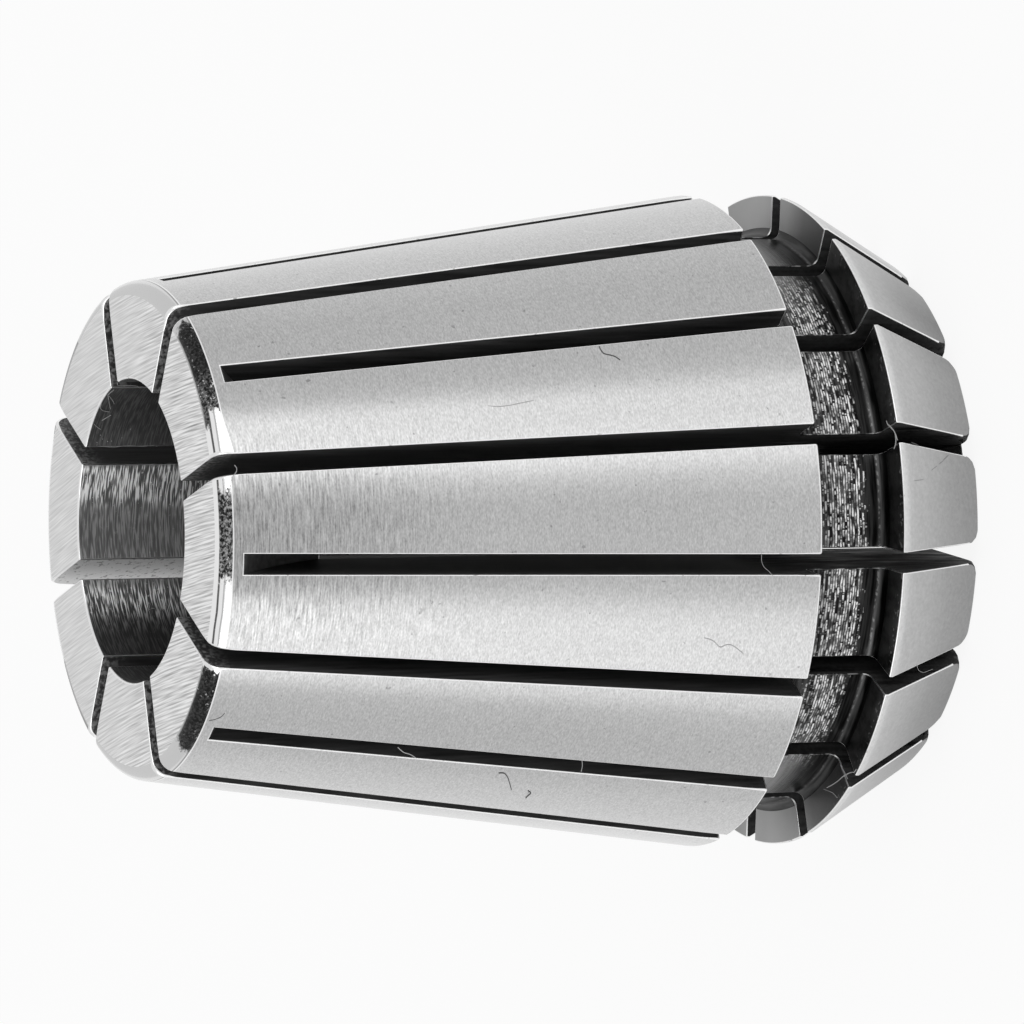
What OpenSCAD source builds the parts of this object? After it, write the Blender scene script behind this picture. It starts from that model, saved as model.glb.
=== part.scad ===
// Spring collet: a one-piece slotted taper sleeve that grips a round shank.
// The nose face stands on z = 0 and the small end faces +z; the bore is the z axis.

/* [Overall] */
// Length from the nose face to the small-end face, mm
body_len = 40; // [36:0.5:46]
// Largest outer diameter, at both edges of the extraction groove, mm
body_d = 33; // [31:0.5:36]
// Bore diameter, mm
bore_d = 15; // [10:0.5:18]

/* [Taper] */
// Half angle of the long locking taper, degrees
taper_angle = 8; // [6:0.5:9]
// Radius rolled onto the outer corner of the small end, mm
small_end_round = 0.75; // [0.3:0.05:1.2]

/* [Nose] */
// Height of the nose, from its face to the near flank of the groove, mm
nose_len = 5.6; // [4.5:0.1:7]
// Half angle of the nose cone, degrees
nose_angle = 30; // [24:1:34]
// Straight band between the nose cone and the groove flank, mm
nose_band = 0.2; // [0.1:0.05:0.6]
// Radius of the rim between the nose cone and the nose face, mm
nose_rim_round = 0.25; // [0.15:0.05:0.8]

/* [Groove] */
// Width of the extraction groove, mm
groove_w = 4.4; // [3:0.1:5.5]
// Depth of the extraction groove below the largest diameter, mm
groove_depth = 2.1; // [1.4:0.1:2.5]
// Fillet radius at the foot of both groove flanks, mm
groove_fillet = 0.45; // [0.2:0.05:0.6]

/* [Slots] */
// Slots sawn from each end, evenly spread; the two sets alternate
slots_per_end = 8; // [4:1:8]
// Slot width, mm
slot_w = 1; // [0.6:0.1:1.2]
// Radius of the saw blade that leaves the rounded slot ends, mm
saw_r = 20; // [16:0.5:30]
// How far the blade dips past the bore surface, mm
saw_dip = 2.5; // [2:0.1:3]
// Uncut length left on the taper beyond the nose-end slots, mm
small_end_web = 1.2; // [0.9:0.1:3]
// Metal left between the bore and the floor of the small-end slots at the nose face, mm
nose_web = 4.7; // [3:0.1:5]

/* [Hidden] */
$fn = 96;

body_r = body_d / 2;
bore_r = bore_d / 2;

// Heights of the two groove flanks
groove_low = nose_len;
groove_high = nose_len + groove_w;
groove_r = body_r - groove_depth;

// Radius of the taper at a height above the groove, before its corner is rounded
function taper_r(z) = body_r - (z - groove_high) * tan(taper_angle);
small_end_r = taper_r(body_len);

// Radius of the nose cone where it would meet the nose face
nose_cone_len = nose_len - nose_band;
nose_rim_r = body_r - nose_cone_len * tan(nose_angle);

// Centres of the two outer corner arcs: the small-end corner lies between the taper and
// the end face, the rim between the nose cone and the nose face
small_end_set = small_end_round * tan((90 - taper_angle) / 2);
small_end_centre = [small_end_r - small_end_set, body_len - small_end_round];
rim_set = nose_rim_round * tan((90 - nose_angle) / 2);
rim_centre = [nose_rim_r - rim_set, nose_rim_round];

// Radius of the deepest point that the saw's edge reaches, inside the empty bore
saw_floor_r = bore_r - saw_dip;
saw_axis_r = saw_floor_r + saw_r;

// Distance along z from the blade's axis to where its edge crosses a given radius
function saw_reach(r) = sqrt(saw_r * saw_r - pow(saw_axis_r - r, 2));

// Last height of the blade's axis when it cuts from the nose, and from the small end
nose_slot_end = body_len - small_end_web;
nose_saw_z = nose_slot_end - saw_reach(taper_r(nose_slot_end));
small_end_saw_z = saw_reach(bore_r + nose_web);

slot_pitch = 360 / slots_per_end;
slot_clear = 2;
// Each arc is this much larger, so that it crosses its two neighbours and leaves no sliver
arc_lap = 0.001;
steel = [0.66, 0.67, 0.68];

// Half section of the sleeve with its corners cut off along the chords of their arcs
module section_with_flats() {
    polygon([
        [bore_r, 0],
        [rim_centre[0], 0],
        rim_centre + nose_rim_round * [cos(nose_angle), -sin(nose_angle)],
        [body_r, nose_cone_len],
        [body_r, groove_low],
        [groove_r + groove_fillet, groove_low],
        [groove_r, groove_low + groove_fillet],
        [groove_r, groove_high - groove_fillet],
        [groove_r + groove_fillet, groove_high],
        [body_r, groove_high],
        small_end_centre + small_end_round * [cos(taper_angle), sin(taper_angle)],
        [small_end_centre[0], body_len],
        [bore_r, body_len]
    ]);
}

// Half section with the arcs added at both outer corners and cut at the groove's feet
module section() {
    difference() {
        union() {
            section_with_flats();
            translate(small_end_centre)
                circle(r = small_end_round + arc_lap);
            translate(rim_centre)
                circle(r = nose_rim_round + arc_lap);
        }
        for (z = [groove_low + groove_fillet, groove_high - groove_fillet])
            translate([groove_r + groove_fillet, z])
                circle(r = groove_fillet + arc_lap);
    }
}

// Path swept by the blade, drawn with radius along x and height along y:
// straight from the end it enters by to its last height, then the blade's own arc
module saw_path(entry_z, saw_z) {
    low = min(entry_z, saw_z);
    high = max(entry_z, saw_z);
    union() {
        translate([bore_r - saw_dip / 2, low])
            square([body_r + slot_clear - bore_r + saw_dip / 2, high - low]);
        translate([saw_axis_r, saw_z])
            circle(r = saw_r);
    }
}

// One slot cutter, standing in the plane through the axis at the given angle
module saw_cut(angle, entry_z, saw_z) {
    rotate([0, 0, angle])
        rotate([90, 0, 0])
            translate([0, 0, -slot_w / 2])
                linear_extrude(height = slot_w)
                    saw_path(entry_z, saw_z);
}

module collet() {
    color(steel)
        difference() {
            rotate_extrude()
                section();
            for (i = [0 : slots_per_end - 1]) {
                saw_cut(i * slot_pitch, -slot_clear, nose_saw_z);
                saw_cut((i + 0.5) * slot_pitch, body_len + slot_clear, small_end_saw_z);
            }
        }
}

collet();
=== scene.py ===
"""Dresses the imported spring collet: ground taper, turned groove, sawn slots, nose and lint.

The collet's skin is rebuilt as one closed mesh from the same sizes as the solid, with a
broken edge along every slot, so that each surface can carry the marks of its own tool.
Lengths in the classes are millimetres; everything that reaches Blender is in metres.
"""

import logging
import math
import random
from dataclasses import dataclass, field
from enum import Enum

import bpy
from mathutils import Matrix, Vector


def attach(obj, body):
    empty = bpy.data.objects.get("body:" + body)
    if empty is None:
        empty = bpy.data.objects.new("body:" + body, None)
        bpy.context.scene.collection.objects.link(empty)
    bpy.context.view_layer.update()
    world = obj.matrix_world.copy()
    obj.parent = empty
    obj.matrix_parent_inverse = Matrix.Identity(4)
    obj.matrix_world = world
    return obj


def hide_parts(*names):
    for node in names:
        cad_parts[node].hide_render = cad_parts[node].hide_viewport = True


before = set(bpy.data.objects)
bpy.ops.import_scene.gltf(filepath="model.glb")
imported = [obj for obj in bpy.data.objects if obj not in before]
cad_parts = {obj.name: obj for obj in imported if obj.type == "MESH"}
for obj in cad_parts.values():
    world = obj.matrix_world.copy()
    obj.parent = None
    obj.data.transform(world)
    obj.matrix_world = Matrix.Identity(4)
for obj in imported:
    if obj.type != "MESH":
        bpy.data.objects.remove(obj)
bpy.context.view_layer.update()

LOG = logging.getLogger("collet")
MM = 0.001
DEGREES = 180 / math.pi
FRONT_AZIMUTH = 7.78889
Point = tuple[float, float, float]
Spot = tuple[float, float]
# Plain values of the shader of bare metal, and of metal with lines round the axis
METAL = {"Metallic": 1.0}
RINGED = METAL | {"Anisotropic Rotation": 0.25}


class Zone(Enum):
    """The surfaces of the collet that carry a finish of their own."""

    TAPER = "taper"
    CORNER = "corner"
    END_FACE = "end_face"
    BORE = "bore"
    GROOVE = "groove"
    FLANK = "flank"
    NOSE = "nose"
    NOSE_FACE = "nose_face"
    WALL = "slot_wall"
    WIPED = "wiped_wall"
    SAW_FLOOR = "saw_floor"
    EDGE = "broken_edge"


def heading(degrees: float) -> tuple[float, float]:
    """Return the cosine and sine of an angle."""
    angle = math.radians(degrees)
    return math.cos(angle), math.sin(angle)


def stand(name: str, data: bpy.types.ID) -> bpy.types.Object:
    """Put something into the scene.

    Args:
        name: The object's name.
        data: Its mesh, lamp or camera.

    Returns:
        The object.
    """
    thing = bpy.data.objects.new(name, data)
    bpy.context.scene.collection.objects.link(thing)
    return thing


# Shader building


class Wire:
    """One value socket of a node tree, with Python's arithmetic."""

    def __init__(self, bench: "Bench", socket: bpy.types.NodeSocket) -> None:
        """Wrap an output socket that carries a single number."""
        self.bench = bench
        self.socket = socket

    def math(self, operation: str, *others: "Wire | float", clamp: bool = False) -> "Wire":
        """Return the result of a Math node whose first value is this one."""
        settings = {"operation": operation, "use_clamp": clamp}
        return self.bench.node("ShaderNodeMath", settings, [self, *others])

    def __add__(self, other: "Wire | float") -> "Wire":
        """Return the sum."""
        return self.math("ADD", other)

    def __radd__(self, other: "Wire | float") -> "Wire":
        """Return the sum."""
        return self.math("ADD", other)

    def __sub__(self, other: "Wire | float") -> "Wire":
        """Return the difference."""
        return self.math("SUBTRACT", other)

    def __rsub__(self, other: float) -> "Wire":
        """Return the number less this value."""
        return self.bench.number("SUBTRACT", other, self)

    def __mul__(self, other: "Wire | float") -> "Wire":
        """Return the product."""
        return self.math("MULTIPLY", other)

    def __rmul__(self, other: "Wire | float") -> "Wire":
        """Return the product."""
        return self.math("MULTIPLY", other)

    def __truediv__(self, other: "Wire | float") -> "Wire":
        """Return the quotient."""
        return self.math("DIVIDE", other)

    def __rtruediv__(self, other: float) -> "Wire":
        """Return the number over this value."""
        return self.bench.number("DIVIDE", other, self)

    def __pow__(self, other: float) -> "Wire":
        """Return this value to a power."""
        return self.math("POWER", other)

    def held(self) -> "Wire":
        """Return the value held between 0 and 1."""
        return self.math("ADD", 0.0, clamp=True)

    def largest(self, other: "Wire | float") -> "Wire":
        """Return the larger of the two."""
        return self.math("MAXIMUM", other)

    def size(self) -> "Wire":
        """Return the value without its sign."""
        return self.math("ABSOLUTE")

    def rise(self, low: float, high: float) -> "Wire":
        """Return a smooth step.

        Args:
            low: Where the step starts.
            high: Where it ends; below low for a falling step.

        Returns:
            A value that goes smoothly from 0 at low to 1 at high.
        """
        start, end, turned = (low, high, False) if low < high else (high, low, True)
        step = self.bench.node(
            "ShaderNodeMapRange",
            {"interpolation_type": "SMOOTHSTEP"},
            {"Value": self, "From Min": start, "From Max": end},
        )
        return 1 - step if turned else step

    def within(self, low: float, high: float, soft: float) -> "Wire":
        """Return about 1 from low to high and 0 outside, with edges of the width of soft."""
        half = soft / 2
        return self.rise(low - half, low + half) * self.rise(high + half, high - half)


class Bench:
    """A node tree that is being wired."""

    def __init__(self, tree: bpy.types.NodeTree) -> None:
        """Empty the tree of a material or of the world."""
        self.tree = tree
        tree.nodes.clear()

    def raw(self, kind: str, settings: dict, inputs: dict | list) -> bpy.types.Node:
        """Add a node, set it up and feed its sockets.

        Args:
            kind: The node's type.
            settings: Its properties; a ramp's stops go under "stops".
            inputs: Values or links, by socket name or in socket order.

        Returns:
            The node.
        """
        node = self.tree.nodes.new(kind)
        for name, value in settings.items():
            if name == "stops":
                self.set_stops(node.color_ramp, value)
            else:
                setattr(node, name, value)
        pairs = inputs.items() if isinstance(inputs, dict) else enumerate(inputs)
        for key, value in pairs:
            self.feed(node.inputs[key], value)
        return node

    def node(
        self, kind: str, settings: dict, inputs: dict | list, output: int | str = 0
    ) -> "Wire | bpy.types.NodeSocket":
        """Add a node as raw does and return one output, wrapped where it is a number."""
        socket = self.raw(kind, settings, inputs).outputs[output]
        return Wire(self, socket) if socket.type == "VALUE" else socket

    @staticmethod
    def set_stops(ramp: bpy.types.ColorRamp, stops: list[tuple[float, float]]) -> None:
        """Give a ramp its stops.

        Args:
            ramp: The ramp.
            stops: Position and grey level of each stop.
        """
        while len(ramp.elements) < len(stops):
            ramp.elements.new(1.0)
        for element, (position, grey) in zip(ramp.elements, stops):
            element.position = position
            element.color = (grey, grey, grey, 1.0)

    def feed(self, socket: bpy.types.NodeSocket, value: object) -> None:
        """Link or set one input socket.

        Args:
            socket: The input socket.
            value: A Wire, an output socket, a number or a tuple.
        """
        if isinstance(value, Wire):
            self.tree.links.new(value.socket, socket)
        elif isinstance(value, bpy.types.NodeSocket):
            self.tree.links.new(value, socket)
        else:
            socket.default_value = value

    def number(self, operation: str, first: float, second: Wire) -> Wire:
        """Return the result of a Math node whose first value is a plain number."""
        return self.node("ShaderNodeMath", {"operation": operation}, [first, second])

    def stretched(self, vector: bpy.types.NodeSocket, by: Point) -> bpy.types.NodeSocket:
        """Return a vector with each axis scaled."""
        return self.node("ShaderNodeVectorMath", {"operation": "MULTIPLY"}, [vector, by])

    def joined(self, *parts: "Wire | float") -> bpy.types.NodeSocket:
        """Return the vector made of three numbers."""
        return self.node("ShaderNodeCombineXYZ", {}, list(parts))

    def grey(self, level: "Wire | float") -> bpy.types.NodeSocket:
        """Return a grey colour of the given level."""
        level = level.held() if isinstance(level, Wire) else level
        return self.node("ShaderNodeCombineColor", {}, [level, level, level])

    def ramp(self, value: Wire, stops: list[tuple[float, float]]) -> Wire:
        """Turn a value into a level by a table.

        Args:
            value: The value, in the table's own units.
            stops: Value and level of each row, rising.

        Returns:
            The level, straight between the rows.
        """
        low, high = stops[0][0], stops[-1][0]
        share = (value - low) / (high - low)
        scaled = [((v - low) / (high - low), grey) for v, grey in stops]
        colour = self.node("ShaderNodeValToRGB", {"stops": scaled}, [share])
        return self.node("ShaderNodeSeparateColor", {}, [colour])


class Surface(Bench):
    """A material's tree, with the places and patterns that the finishes share."""

    def __init__(self, name: str) -> None:
        """Start a material.

        Args:
            name: The material's name.
        """
        self.material = bpy.data.materials.new(name)
        self.material.use_nodes = True
        super().__init__(self.material.node_tree)
        place = self.node("ShaderNodeTexCoord", {}, {}, "Object")
        self.place = self.stretched(place, (1 / MM,) * 3)
        split = self.raw("ShaderNodeSeparateXYZ", {}, {"Vector": self.place})
        self.x, self.y, self.z = (Wire(self, socket) for socket in split.outputs)

    def azimuth(self) -> Wire:
        """Return the azimuth in degrees, from -180 to 180."""
        return self.y.math("ARCTAN2", self.x) * DEGREES

    def radius(self) -> Wire:
        """Return the distance from the axis, mm."""
        return (self.x * self.x + self.y * self.y) ** 0.5

    def front_angle(self) -> Wire:
        """Measure how far round a place is from the collet's front.

        Returns:
            The angle from -90 to 90 degrees, the same behind as in front.
        """
        c, s = heading(FRONT_AZIMUTH)
        ahead = self.x * c + self.y * s
        left = self.y * c - self.x * s
        return left.math("ARCTAN2", ahead.size()) * -DEGREES

    def noise(
        self,
        scales: Point,
        seed: float,
        detail: float = 2.0,
        rough: float = 0.5,
        place: bpy.types.NodeSocket | None = None,
    ) -> Wire:
        """Add a noise pattern.

        Args:
            scales: Features per millimetre along x, y and z.
            seed: Which pattern of the kind.
            detail: Octaves above the first.
            rough: Weight of the finer octaves.
            place: The vector it reads, or None for the place in millimetres.

        Returns:
            A value around 0.5, mostly between 0.25 and 0.75.
        """
        vector = self.stretched(place or self.place, scales)
        grain = {"W": seed, "Scale": 1.0, "Detail": detail, "Roughness": rough}
        settings = {"noise_dimensions": "4D"}
        return self.node("ShaderNodeTexNoise", settings, {"Vector": vector, **grain})

    def rings(self, around: float, along: float, seed: float, detail: float = 2.0) -> Wire:
        """Return noise drawn out round the axis, from its features per millimetre."""
        return self.noise((around, around, along), seed, detail)

    def bump(self, height: Wire, depth: float, strength: float = 1.0) -> bpy.types.NodeSocket:
        """Return the normal of a relief whose full step is depth millimetres high."""
        inputs = {"Strength": strength, "Distance": depth * MM, "Height": height}
        return self.node("ShaderNodeBump", {}, inputs)

    def marked(
        self, level: Wire, marks: tuple["Stroke", ...], radius: float, depth: float
    ) -> Wire:
        """Darken a level along short marks.

        Args:
            level: The level.
            marks: The marks.
            radius: The surface's radius near them, mm.
            depth: Share of the level that a mark takes away.

        Returns:
            The level with its marks.
        """
        azimuth = self.azimuth()
        for mark in marks:
            level = level * (1 - mark.mask(self, azimuth, radius) * depth)
        return level

    def close(
        self,
        level: "Wire | float",
        roughness: "Wire | float",
        normal: bpy.types.NodeSocket | None,
        settings: dict,
    ) -> bpy.types.Material:
        """Finish the tree with a shader and an output.

        Args:
            level: Grey level of the surface.
            roughness: Its roughness.
            normal: Its relief, if it has one.
            settings: Plain values of the shader's other sockets.

        Returns:
            The material.
        """
        inputs = {"Base Color": self.grey(level), "Roughness": roughness, **settings}
        if normal is not None:
            inputs["Normal"] = normal
        shader = self.node("ShaderNodeBsdfPrincipled", {}, inputs)
        self.raw("ShaderNodeOutputMaterial", {}, {"Surface": shader})
        return self.material


# Finishes


@dataclass(frozen=True)
class Stroke:
    """A short mark on the skin; lean is its angle from the axis towards higher azimuth."""

    azimuth: float
    z: float
    lean: float
    length: float
    width: float
    taper: float = 0.2

    def mask(self, s: Surface, azimuth: Wire, radius: float) -> Wire:
        """Return 1 on the mark and 0 off it.

        Args:
            s: The surface that is marked.
            azimuth: Its azimuth, degrees.
            radius: Its radius near the mark, mm.

        Returns:
            The mark's mask.
        """
        round_it = (azimuth - self.azimuth) * (radius / DEGREES)
        up = s.z - self.z
        c, n = heading(self.lean)
        along = (up * c + round_it * n).size()
        across = (round_it * c - up * n).size()
        half = self.length / 2
        return along.rise(half, half - self.taper) * across.rise(self.width, 0.0)


@dataclass(frozen=True)
class GroundTaper:
    """Cylindrically ground steel with fine lines round the axis, under a thin film of oil, with
    painted highlight bands and painted shade.
    """

    level: float = 0.5
    roughness: float = 0.3
    line_contrast: float = 0.85
    relief: float = 0.0006
    anisotropy: float = 0.75
    film: float = 0.8
    film_roughness: float = 0.25
    # Level and height of the painted highlight near the small end
    glint_level: float = 0.85
    glint_z: float = 39.27
    # Level of the painted bands that leaves the shade as it is
    unshaded: float = 0.8
    mark_r: float = 14.0
    mark_depth: float = 0.75
    marks: tuple[Stroke, ...] = (
        Stroke(51.7, 36.6, 143.0, 0.3, 0.07),
        Stroke(34.2, 20.7, 45.0, 0.26, 0.08),
        Stroke(32.9, 20.9, -45.0, 0.26, 0.04),
        Stroke(-55.3, 21.7, 100.0, 0.55, 0.04),
        Stroke(27.5, 12.3, 60.0, 0.3, 0.05),
        Stroke(-14.6, 16.62, 38.6, 0.26, 0.05),
        Stroke(-20.0, 12.0, 20.0, 0.25, 0.06),
        Stroke(-62.0, 30.4, 40.0, 0.3, 0.05),
        Stroke(118.0, 24.0, 35.0, 0.6, 0.05),
        Stroke(-140.0, 31.0, 120.0, 0.45, 0.06),
        Stroke(168.0, 17.5, 70.0, 0.5, 0.05),
    )

    def material(self) -> bpy.types.Material:
        """Wire the taper's material.

        Returns:
            The material.
        """
        s = Surface("ground_taper")
        angle = s.front_angle()
        front = angle.within(-14.0, 14.0, 12.0)
        near_end = s.z.rise(24.0, 40.0)
        fine = s.rings(6.6, 17.5, 1.3, 1.0)
        scores = s.rings(1.3, 13.5, 4.1, 0.5)
        cloud = s.noise((0.16, 0.16, 0.1), 7.7)
        specks = s.noise((3.2, 3.2, 3.2), 9.4, 1.0)
        depth = s.z.rise(24.0, 38.0) * angle.within(-18.0, 26.0, 20.0)
        lines = (fine - 0.5) * self.line_contrast + (scores - 0.5) * (depth * 1.3 + 0.15)
        # Painted highlight and shade: lighter bands where the lamps' reflections fall and darker
        # ones between, by the angle from the front
        bands = s.ramp(
            angle,
            [(-90.0, 0.8), (-62.0, 0.8), (-55.0, 0.732), (-48.0, 0.692), (-42.0, 0.712),
             (-32.0, 0.72), (-28.0, 0.74), (-24.0, 0.872), (-20.0, 0.848), (-12.0, 0.944),
             (-8.0, 0.848), (-4.0, 0.76), (4.0, 0.784), (11.0, 0.736), (15.0, 0.776),
             (19.0, 0.88), (27.0, 0.92), (34.0, 0.864), (38.0, 0.744), (46.0, 0.712),
             (57.0, 0.736), (62.0, 0.8), (90.0, 0.84)],
        ) / self.unshaded
        # Painted shade: the front darkens towards the small end
        shade = (1 - front * near_end * 0.24) * bands
        level = (lines + (cloud - 0.5) * 0.08 + 1) * shade * self.level
        level = level * (1 - specks.rise(0.73, 0.79) * 0.36)
        level = s.marked(level, self.marks, self.mark_r, self.mark_depth)
        # Painted highlight near the small end, reaching furthest down at angles from -31 to -14
        run = angle.rise(-31.0, -16.0)
        reach = run * run * angle.rise(-14.0, -15.5) * 0.28
        glint = (s.z + reach).rise(self.glint_z, self.glint_z + 0.04)
        level = glint * (self.glint_level - level) + level
        settings = RINGED | {
            "Anisotropic": self.anisotropy,
            "Coat Weight": self.film,
            "Coat Roughness": self.film_roughness,
        }
        return s.close(level, self.roughness, s.bump(fine, self.relief), settings)


@dataclass(frozen=True)
class PolishedCorner:
    """The rolled corner of the small end, polished: painted dark reflection mottled with pits, and
    painted lamp highlights in two windows of angle and along the rim.
    """

    # Levels of the painted dark reflection, the painted highlights and the painted grey at the
    # sides
    dark: float = 0.022
    bright: float = 0.96
    side: float = 0.66
    roughness: float = 0.16
    foot: float = 39.25
    radius: float = 0.75
    relief: float = 0.002

    def material(self) -> bpy.types.Material:
        """Wire the corner's material.

        Returns:
            The material.
        """
        s = Surface("polished_corner")
        angle = s.front_angle()
        share = ((s.z - self.foot) / self.radius).held()
        arc = share.math("ARCSINE") / (math.pi / 2)
        pits = s.noise((6.5, 6.5, 8.0), 3.1, 4.0, 0.65)
        specks = s.noise((7.0, 7.0, 8.0), 6.4, 1.0)
        crowd = s.noise((0.9, 0.9, 0.9), 1.7, 1.0).rise(0.38, 0.6)
        # Pits and flecks are livelier near the painted highlights
        lively = angle.within(-12.0, 14.0, 4.0).largest(angle.within(-37.0, -26.0, 6.0) * 0.5)
        flecks = specks.rise(0.63, 0.72) * crowd * (lively * 0.35 + 0.42)
        # Painted dark reflection, mottled with pits and flecks
        mottled = pits.rise(0.42, 0.66) * (lively * 0.38 + 0.05) + self.dark * 0.8 + flecks
        wander = (s.noise((0.5, 0.5, 0.0), 9.2, 1.0) - 0.5) * 0.1
        angle = angle + (s.noise((5.0, 5.0, 9.0), 8.3, 2.0) - 0.5) * 7
        swayed = arc + wander
        scored = swayed.within(0.36, 0.41, 0.03) * 0.5 + swayed.within(0.58, 0.68, 0.03) * 0.9
        # Painted lamp highlights in two windows of angle and along the rim, cut by dark scored
        # lines and a dark tongue
        lamp_highlights = angle.within(-28.0, -8.5, 1.5) + angle.within(11.0, 33.5, 1.5)
        rim = share.rise(0.84, 0.89) * angle.within(-17.0, 29.0, 2.0)
        tongue = swayed.within(0.6, 0.95, 0.06) * angle.within(-31.0, -24.3, 2.4)
        glint = lamp_highlights.largest(rim) * (1 - scored.largest(tongue))
        point = (arc - 0.4).size() * 5
        # Painted grey at the sides, away from the front
        sides = (angle + point).rise(60.0, 62.5).largest((angle - point).rise(-54.5, -57.5))
        sides = sides.largest(swayed.rise(0.86, 0.93) * 0.7)
        groove_line = arc.within(0.1, 0.16, 0.04) * 0.6
        plain = sides * (self.side * (1 - groove_line) - mottled) + mottled
        level = glint * (self.bright - plain) + plain
        return s.close(level, self.roughness, s.bump(pits, self.relief), METAL)


@dataclass(frozen=True)
class GroundFace:
    """A flat face with the long arcs of a grinding wheel."""

    name: str
    level: float
    roughness: float
    turn: float
    bend: float = 0.0043
    pace: float = 30.0
    relief: float = 0.0012

    def material(self) -> bpy.types.Material:
        """Wire the face's material.

        Returns:
            The material.
        """
        s = Surface(self.name)
        c, n = heading(self.turn)
        along = s.x * c + s.y * n
        across = s.y * c - s.x * n
        bent = across + along * along * self.bend
        place = s.joined(along, bent, 0.0)
        fine = s.noise((0.45, 15.0, 1.0), 2.2, 0.5, 0.6, place)
        sway = s.noise((0.12, 0.9, 1.0), 8.8, 2.0, 0.5, place)
        depth = s.noise((0.5, 2.5, 1.0), 5.1, 1.0, 0.5, place).rise(0.32, 0.62)
        near = s.x.rise(-6.0, 9.0)
        cloud = s.noise((0.3, 0.3, 0.3), 5.5)
        waves = (bent * self.pace + (sway - 0.5) * 12.0).math("SINE") * depth
        lines = (0.5 - fine) * (near * 0.95 + 0.65) + waves * (near * 0.2 + 0.07)
        level = (lines + (cloud - 0.5) * 0.06 + 1) * self.level
        return s.close(level, self.roughness, s.bump(fine, self.relief), METAL)


@dataclass(frozen=True)
class HonedBore:
    """The bore, honed dark and scored round the axis, with painted lamp reflections as bright
    bands.
    """

    level: float = 0.88
    roughness: float = 0.58
    anisotropy: float = 0.7
    relief: float = 0.001

    def material(self) -> bpy.types.Material:
        """Wire the bore's material.

        Returns:
            The material.
        """
        s = Surface("honed_bore")
        fine = s.rings(1.3, 15.0, 6.1, 1.0)
        coarse = s.rings(0.8, 7.0, 3.6, 1.0)
        specks = s.noise((6.0, 6.0, 6.0), 2.9, 1.0)
        angle = s.front_angle()
        # Painted shade: the bore's dark level by the angle from the front
        film = s.ramp(
            angle,
            [(-90.0, 0.1), (-27.0, 0.11), (-24.5, 0.17), (-14.0, 0.17), (-9.0, 0.21),
             (14.0, 0.2), (24.0, 0.15), (33.0, 0.11), (38.0, 0.07), (90.0, 0.06)],
        )
        # Painted reflections of the lamps: bright streaked bands at set angles from the front
        lamp_bands = s.ramp(
            angle,
            [(-90.0, 0.05), (-27.0, 0.07), (-24.5, 1.0), (-13.0, 1.0), (-8.0, 0.2), (6.0, 0.16),
             (14.0, 0.3), (21.0, 0.42), (24.0, 1.0), (31.0, 0.95), (36.0, 0.25), (44.0, 0.06),
             (90.0, 0.04)],
        )
        streaks = (fine * 0.85 + coarse * 0.15).rise(0.45, 0.61)
        mottle = streaks * lamp_bands * self.level + specks.rise(0.66, 0.72) * lamp_bands * 0.4
        level = mottle + film * ((fine - 0.5) * 1.2 + 1)
        settings = RINGED | {"Anisotropic": self.anisotropy}
        return s.close(level, self.roughness, s.bump(fine, self.relief), settings)


@dataclass(frozen=True)
class TurnedGroove:
    """The groove's floor: a band of broken turning marks between two smooth dark ones, darkened
    with painted shade, with painted sheen and a painted highlight on the fillet.
    """

    dark: float = 0.03
    bright: float = 0.85
    pitch: float = 0.135
    roughness: float = 0.3
    relief: float = 0.012

    def material(self) -> bpy.types.Material:
        """Wire the groove's material.

        Returns:
            The material.
        """
        s = Surface("turned_groove")
        sway = s.noise((1.1, 1.1, 0.9), 3.3, 2.0)
        turns = (s.z + (sway - 0.5) * 0.2) / self.pitch
        row = turns.math("FLOOR")
        in_row = (turns - row - 0.5).size()
        place = s.joined(s.x, s.y, row * 3.7)
        dashes = s.noise((2.4, 2.4, 1.0), 2.7, 3.0, 0.6, place)
        shine = s.noise((1.7, 1.7, 1.0), 5.1, 2.0, 0.6, place)
        fullness = s.ramp(
            s.z,
            [(5.6, 0.3), (5.85, 0.1), (6.0, 0.0), (6.4, 0.25), (6.6, 0.47), (7.0, 0.56),
             (7.5, 0.58), (8.0, 0.58), (8.5, 0.56), (8.75, 0.54), (9.2, 0.45), (10.0, 0.3)],
        )
        # Painted sheen of the marks across the groove
        painted_sheen = s.ramp(
            s.z,
            [(5.6, 0.7), (6.7, 0.85), (7.0, 0.95), (7.4, 0.72), (8.0, 0.76), (8.4, 0.62),
             (8.8, 0.4), (10.0, 0.3)],
        )
        # Painted light at the sides: the marks fade and a smooth painted sheen takes their place
        beside = s.front_angle().size().rise(44.0, 62.0)
        on = (dashes + fullness - 1.02).rise(-0.03, 0.03)
        bar = in_row.rise(0.46, 0.2)
        chips = s.noise((5.0, 5.0, 8.0), 7.3, 1.0).rise(0.38, 0.46) * 0.7 + 0.3
        lit = shine.rise(0.36, 0.6) * 1.2 + 0.1
        marks = on * bar * chips * painted_sheen * lit * (1 - beside)
        # The floor's dark level is painted shade, a little darker on the fillet
        fillet = s.z.rise(6.15, 5.95)
        film = (s.rings(0.5, 7.0, 8.2, 2.0).rise(0.35, 0.65) * 1.6 + 0.3) * (1 - fillet * 0.3)
        # Painted highlight: a line of dots and a faint glow along the fillet
        dots = s.noise((4.0, 4.0, 6.0), 4.9, 1.0).rise(0.5, 0.62) * s.z.within(5.9, 6.0, 0.08)
        fillet_highlight = s.z.within(5.84, 6.04, 0.14) * 0.03
        smooth = beside * s.z.rise(6.7, 8.6) * 0.16 + dots * 0.09 + fillet_highlight
        level = marks * (self.bright - self.dark) + film * self.dark + smooth
        return s.close(level, self.roughness, s.bump(bar * on, self.relief, 0.5), METAL)


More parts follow.
